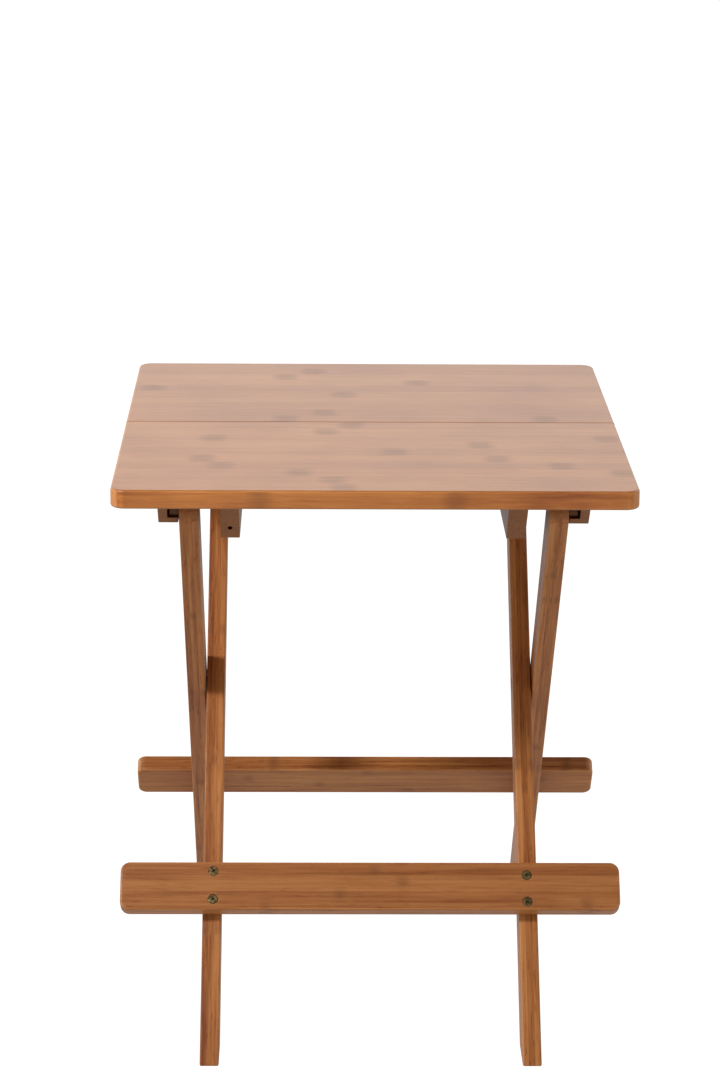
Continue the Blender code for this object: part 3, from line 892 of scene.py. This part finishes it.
def stretcher(node, along, outward, body, twists, seed, tint=UNTINTED, narrow=UNTINTED):
    """A bar with round corners across a frame's legs, on their outward faces."""
    low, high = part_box(node)
    middle = (low + high) / 2
    half_length = (high.x - low.x) / 2
    half_height = STRETCHER_HEIGHT / 2
    corners = [
        (x * half_length, z * half_height, STRETCHER_CORNER_RADIUS)
        for x, z in ((-1, -1), (1, -1), (1, 1), (-1, 1))
    ]
    limits = (-STRETCHER_THICKNESS / 2, STRETCHER_THICKNESS / 2)
    shape = swept(rounded(corners), limits, axes(X, along, outward, middle))
    material = bamboo(
        "bamboo_" + node,
        X,
        along,
        outward,
        BAR_STRIP,
        STRETCHER_THICKNESS / BAR_LAYERS,
        middle - along * STRETCHER_STRIPS_START - outward * STRETCHER_THICKNESS / 2,
        seed,
        tint=tint,
        narrow=narrow,
    )
    seats = []
    for number, twist in enumerate(twists, 1):
        name = f"{node}_screw_{number}"
        place = screw(name, STRETCHER_SCREW, outward, body, brass, twist)
        seats.append(screw_seat(STRETCHER_SCREW, place))
    mesh = finished_mesh(node, shape, STRETCHER_EASING, seats)
    show(node, mesh, material, body)


stretcher("front_stretcher", INNER_AXIS, INNER_FRONT, "inner_frame", FRONT_TWISTS, FRONT_SEED)
stretcher(
    "rear_stretcher",
    OUTER_AXIS,
    OUTER_BACK,
    "outer_frame",
    REAR_TWISTS,
    REAR_SEED,
    # The rear stretcher is painted lighter all over, as painted light thrown up from the floor, and
    # its narrow long sides are painted darker again, as painted shade under the top.
    tint=rgb(1.28, 1.42, 1.45),
    narrow=rgb(0.65, 0.59, 0.59),
)


# ---- legs ------------------------------------------------------------------------------------


def pivot_seat(side, near, far, centre, head_at_far):
    """A pivot hole through a bar, with the seat for a flat head on one face."""
    seat = HEAD_THICKNESS + PLAY
    wide = HEAD_RADIUS + PLAY
    narrow = SLEEVE_RADIUS + PLAY
    thickness = far - near
    profile = [
        (0, -OVERSHOOT),
        (wide, -OVERSHOOT),
        (wide, seat),
        (narrow, seat),
        (narrow, thickness + OVERSHOOT),
        (0, thickness + OVERSHOOT),
    ]
    face, inward = (far, -side) if head_at_far else (near, side)
    return turned(profile, facing(X * inward, Vector((side * face, centre.y, centre.z))))


def leg(kind, side, axis, across, body, seed):
    """A leg with a level foot, and a top end that is round below and level above.

    Its outline's points are u across the leg and v up its axis.
    """
    node = f"{kind}_{SIDES[side]}"
    low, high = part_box(node)
    near, far = sorted((abs(low.x), abs(high.x)))
    half = LEG_WIDTH / 2
    end = UPPER_LENGTH + LEG_END
    top = high.z - CROSS.z
    bottom = low.z - CROSS.z
    slope = abs(axis.y) / axis.z
    upper_side = 1 if across.z > 0 else -1

    def level(u, height):
        """The v at which the leg reaches a height above CROSS."""
        return height / axis.z - upper_side * u * slope

    cut_u = (top - end * axis.z) / (upper_side * abs(axis.y))
    corners = (
        (upper_side * half, level(upper_side * half, bottom), 0),
        (-upper_side * half, level(-upper_side * half, bottom), 0),
        (-upper_side * half, end, LEG_END_RADIUS),
        (cut_u, end, 0),
        (upper_side * half, level(upper_side * half, top), 0),
    )
    limits = sorted((side * near, side * far))
    shape = swept(rounded(corners), limits, axes(across, axis, X, CROSS))
    material = bamboo(
        "bamboo_" + node,
        axis,
        across,
        X,
        BAR_STRIP,
        (far - near) / BAR_LAYERS,
        CROSS + X * limits[0] - across * LEG_STRIPS_START,
        seed + side,
    )
    holes = []
    if body == "inner_frame":
        holes.append(pivot_seat(side, near, far, CROSS, head_at_far=False))
        holes.append(pivot_seat(side, near, far, HINGE, head_at_far=True))
    else:
        holes.append(pivot_seat(side, near, far, CROSS, head_at_far=True))
        pin_low, pin_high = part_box(f"slide_pin_{SIDES[side]}")
        centre = (pin_low + pin_high) / 2
        radius = (pin_high.z - pin_low.z) / 2 + PLAY
        inner_end = min(abs(pin_low.x), abs(pin_high.x)) - PLAY
        profile = [(0, 0), (radius, 0), (radius, 2 * LEG_END), (0, 2 * LEG_END)]
        hole_place = facing(X * side, Vector((side * inner_end, centre.y, centre.z)))
        holes.append(turned(profile, hole_place))
    mesh = finished_mesh(node, shape, LEG_EASING, holes)
    show(node, mesh, material, body)


for side in SIDES:
    leg("inner_leg", side, INNER_AXIS, -INNER_FRONT, "inner_frame", INNER_LEG_SEED)
    leg("outer_leg", side, OUTER_AXIS, OUTER_BACK, "outer_frame", OUTER_LEG_SEED)


# ---- battens ---------------------------------------------------------------------------------


def batten(kind, side, screw_size, holes, counterbore):
    """A bar under the top, with both ends cut back at 45 degrees, and its four screws."""
    node = f"{kind}_{SIDES[side]}"
    low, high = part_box(node)
    height = high.z - low.z
    outline = (
        (low.y, high.z),
        (high.y, high.z),
        (high.y - height, low.z),
        (low.y + height, low.z),
    )
    shape = swept(outline, (low.x, high.x), axes(Y, Z, X))
    mouth = COUNTERBORE_RADIUS if counterbore else None
    seats = []
    for number, twist in enumerate(BATTEN_TWISTS, 1):
        name = f"{kind}_screw_{SIDES[side]}_{number}"
        place = screw(name, screw_size, -Z, "top", zinc, twist)
        depth = place.translation.z - low.z
        seats.append(screw_seat(screw_size, place, depth + OVERSHOOT, mouth))
    material = bamboo(
        "bamboo_" + node,
        Y,
        Z,
        X,
        BAR_STRIP,
        (high.x - low.x) / BAR_LAYERS,
        (low.x, 0, low.z - BATTEN_STRIPS_START),
        BATTEN_SEED + side,
        # The battens are painted darker all over: painted shade under the top.
        tint=rgb(0.70, 0.70, 0.70),
    )
    mesh = finished_mesh(node, shape, BATTEN_EASING, holes + seats)
    show(node, mesh, material, "top")


for side, side_name in SIDES.items():
    low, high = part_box(f"inner_batten_{side_name}")
    near, far = sorted((abs(low.x), abs(high.x)))
    holes = [pivot_seat(side, near, far, HINGE, head_at_far=False)]
    if side < 0:
        depth = PEG_HOLE_DROP + PEG_HOLE_DEPTH
        profile = [(0, 0), (PEG_HOLE_RADIUS, 0), (PEG_HOLE_RADIUS, depth), (0, depth)]
        mouth = Vector(((low.x + high.x) / 2, low.y, UNDERSIDE - PEG_HOLE_DROP))
        holes.append(turned(profile, facing(Y, mouth)))
    batten("inner_batten", side, INNER_BATTEN_SCREW, holes, counterbore=True)

    low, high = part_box(f"outer_batten_{side_name}")
    near, far = sorted((abs(low.x), abs(high.x)))
    groove = swept(
        (
            (low.y - OVERSHOOT, HINGE.z - GROOVE_HEIGHT / 2),
            (high.y + OVERSHOOT, HINGE.z - GROOVE_HEIGHT / 2),
            (high.y + OVERSHOOT, HINGE.z + GROOVE_HEIGHT / 2),
            (low.y - OVERSHOOT, HINGE.z + GROOVE_HEIGHT / 2),
        ),
        sorted((side * (near - OVERSHOOT), side * (near + GROOVE_DEPTH))),
        axes(Y, Z, X),
    )
    batten("outer_batten", side, OUTER_BATTEN_SCREW, [groove], counterbore=False)


# ---- pivots and pins -------------------------------------------------------------------------


def flat_head(rest):
    """The profile of a flat head with an eased rim, followed by what is under it."""
    return [(0, 0), *eased_rim(HEAD_RADIUS, HEAD_RIM), (HEAD_RADIUS, -HEAD_THICKNESS), *rest]


def socketed(profile, direction, point):
    """A turned part with a hexagon socket in its head."""
    hexagon = [(0, OVERSHOOT), (HEX_SOCKET_RADIUS, OVERSHOOT)]
    hexagon += [(HEX_SOCKET_RADIUS, -HEX_SOCKET_DEPTH), (0, -HEX_SOCKET_POINT)]
    cutter = turned(hexagon, Matrix.Identity(4), segments=6)
    mesh = finished_mesh("pivot", turned(profile, Matrix.Identity(4)), 0, [cutter])
    mesh.transform(facing(direction, point))
    return mesh


def pivot(kind, side, body, centre):
    """A bolt in its sleeve nut, with a washer between the bars."""
    name = f"{kind}_{SIDES[side]}"
    bolt_low, bolt_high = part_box(f"{name}_bolt")
    nut_low, nut_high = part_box(f"{name}_sleeve_nut")
    outer_face = max(abs(bolt_low.x), abs(bolt_high.x))
    inner_face = min(abs(nut_low.x), abs(nut_high.x))
    shank = bolt_high.x - bolt_low.x
    bolt = flat_head([(BOLT_RADIUS, -HEAD_THICKNESS), (BOLT_RADIUS, -shank), (0, -shank)])
    outer_point = Vector((side * outer_face, centre.y, centre.z))
    mesh = socketed(bolt, X * side, outer_point)
    show(f"{name}_bolt", mesh, brass, body)
    bore = BOLT_RADIUS + PLAY
    nut = flat_head(
        [
            (SLEEVE_RADIUS, -HEAD_THICKNESS),
            (SLEEVE_RADIUS, -SLEEVE_LENGTH),
            (bore, -SLEEVE_LENGTH),
            (bore, -HEAD_THICKNESS),
            (0, -HEAD_THICKNESS),
        ]
    )
    inner_point = Vector((side * inner_face, centre.y, centre.z))
    mesh = socketed(nut, X * -side, inner_point)
    show(f"{name}_sleeve_nut", mesh, brass, body)
    low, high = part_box(f"{name}_washer")
    radius = (high.z - low.z) / 2
    thickness = high.x - low.x
    hole = SLEEVE_RADIUS + PLAY
    ring = turned(
        [(hole, 0), (radius, 0), (radius, thickness), (hole, thickness)],
        facing(X, Vector((low.x, centre.y, centre.z))),
    )
    mesh = finished_mesh("washer", ring, 0, [])
    show(f"{name}_washer", mesh, zinc, body)


for side, side_name in SIDES.items():
    pivot("cross_pivot", side, "inner_frame", CROSS)
    pivot("top_hinge", side, "top", HINGE)
    node = f"slide_pin_{side_name}"
    low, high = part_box(node)
    radius = (high.z - low.z) / 2
    length = high.x - low.x
    profile = [
        (0, 0),
        (radius - PIN_EASING, 0),
        (radius - PIN_EASING_BULGE, PIN_EASING_BULGE),
        (radius, PIN_EASING),
        (radius, length - PIN_EASING),
        (radius - PIN_EASING_BULGE, length - PIN_EASING_BULGE),
        (radius - PIN_EASING, length),
        (0, length),
    ]
    middle = (low + high) / 2
    peg = turned(profile, facing(X, Vector((low.x, middle.y, middle.z))))
    show(node, finished_mesh(node, peg, 0, []), dowel, "outer_frame")


# ---- camera, light and floor ------------------------------------------------------------------

# The camera's place is in metres, its turns are in radians and its lens is in millimetres.
CAMERA_PLACE = (-0.0504, -2.7014, 1.1404)
CAMERA_YAW = 0.01517
CAMERA_PITCH = 0.22237
CAMERA_ROLL = 0.00701
CAMERA_LENS = 107.75
CAMERA_SHIFT = -0.15

camera_data = bpy.data.cameras.new("camera")
camera_data.sensor_width = 36
camera_data.lens = CAMERA_LENS
camera_data.shift_y = CAMERA_SHIFT
camera_data.clip_start = 0.1
camera_data.clip_end = 100
camera = bpy.data.objects.new("camera", camera_data)
bpy.context.scene.collection.objects.link(camera)
forward = Vector(
    (
        sin(CAMERA_YAW) * cos(CAMERA_PITCH),
        cos(CAMERA_YAW) * cos(CAMERA_PITCH),
        -sin(CAMERA_PITCH),
    )
)
level_right = Vector((cos(CAMERA_YAW), -sin(CAMERA_YAW), 0))
level_up = level_right.cross(forward)
right = level_right * cos(CAMERA_ROLL) + level_up * sin(CAMERA_ROLL)
upward = level_up * cos(CAMERA_ROLL) - level_right * sin(CAMERA_ROLL)
camera.matrix_world = axes(right, upward, -forward, CAMERA_PLACE)
bpy.context.scene.camera = camera
bpy.context.scene.view_settings.view_transform = "Standard"

# The studio's white backdrop stands behind the table. It is dimmer overhead and in front, where
# the camera only sees it as white. The edges are how far back or up a direction points where the
# light starts to change, and where it has changed.
BACK_LIGHT = 1.60
FRONT_LIGHT = 0.50
OVERHEAD_LIGHT = 0.22
BACKDROP_EDGE = (-0.35, 0.25)
OVERHEAD_EDGE = (0.45, 0.80)
LIT_POINT = Vector((0, 0, 0.3))
world = bpy.data.worlds.new("studio")
bpy.context.scene.world = world
world.use_nodes = True
sky = Nodes(world.node_tree)
compass = sky.node(
    "ShaderNodeSeparateXYZ", {0: sky.node("ShaderNodeTexCoord").outputs["Generated"]}
).outputs
sideways = sky.between(compass["Y"], *BACKDROP_EDGE, FRONT_LIGHT, BACK_LIGHT)
overhead = sky.between(compass["Z"], *OVERHEAD_EDGE)
brightness = sky.between(overhead, 0.0, 1.0, sideways, OVERHEAD_LIGHT)
seen = sky.node("ShaderNodeLightPath").outputs["Is Camera Ray"]
strength = sky.math("MAXIMUM", brightness, seen)
sky.feed(sky.tree.nodes["Background"], {"Color": rgb(1.0, 1.0, 1.0), "Strength": strength})


def softbox(name, azimuth, elevation, distance, size, power):
    """A round lamp that faces the table; azimuth 0 is in front and positive is to the right."""
    turn, lift = radians(azimuth), radians(elevation)
    outward = Vector((sin(turn) * cos(lift), -cos(turn) * cos(lift), sin(lift)))
    data = bpy.data.lights.new(name, "AREA")
    data.shape = "DISK"
    data.size = size
    data.energy = power
    lamp = bpy.data.objects.new(name, data)
    bpy.context.scene.collection.objects.link(lamp)
    lamp.visible_camera = False
    lamp.matrix_world = facing(outward, LIT_POINT + outward * distance)


softbox("key", azimuth=-50, elevation=42, distance=2.6, size=0.40, power=42)

# The floor glows evenly, so it is plain white in the picture and lights the underside softly. Seen
# from below, it lets the underside show.
FLOOR_REACH = 30.0
FLOOR_DROP = 0.0002
FLOOR_GLOW = 0.57
FLOOR_SEEN = 1.1
floor_mesh = bpy.data.meshes.new("floor")
corners = [(-1, -1), (1, -1), (1, 1), (-1, 1)]
floor_mesh.from_pydata(
    [(x * FLOOR_REACH, y * FLOOR_REACH, 0) for x, y in corners], [], [(0, 1, 2, 3)]
)
floor = bpy.data.objects.new("floor", floor_mesh)
floor.location.z = -FLOOR_DROP
bpy.context.scene.collection.objects.link(floor)
floor_shader = Shader("pale_floor")
seen = floor_shader.node("ShaderNodeLightPath").outputs["Is Camera Ray"]
glow = floor_shader.plus(floor_shader.times(seen, FLOOR_SEEN - FLOOR_GLOW), FLOOR_GLOW)
above = floor_shader.node("ShaderNodeEmission", {"Strength": glow}).outputs[0]
below = floor_shader.node("ShaderNodeBsdfTransparent").outputs[0]
backfacing = floor_shader.node("ShaderNodeNewGeometry").outputs["Backfacing"]
surface = floor_shader.node("ShaderNodeMixShader", {0: backfacing, 1: above, 2: below})
floor_shader.feed(
    floor_shader.tree.nodes["Material Output"], {"Surface": surface.outputs[0]}
)
floor.data.materials.append(floor_shader.material)
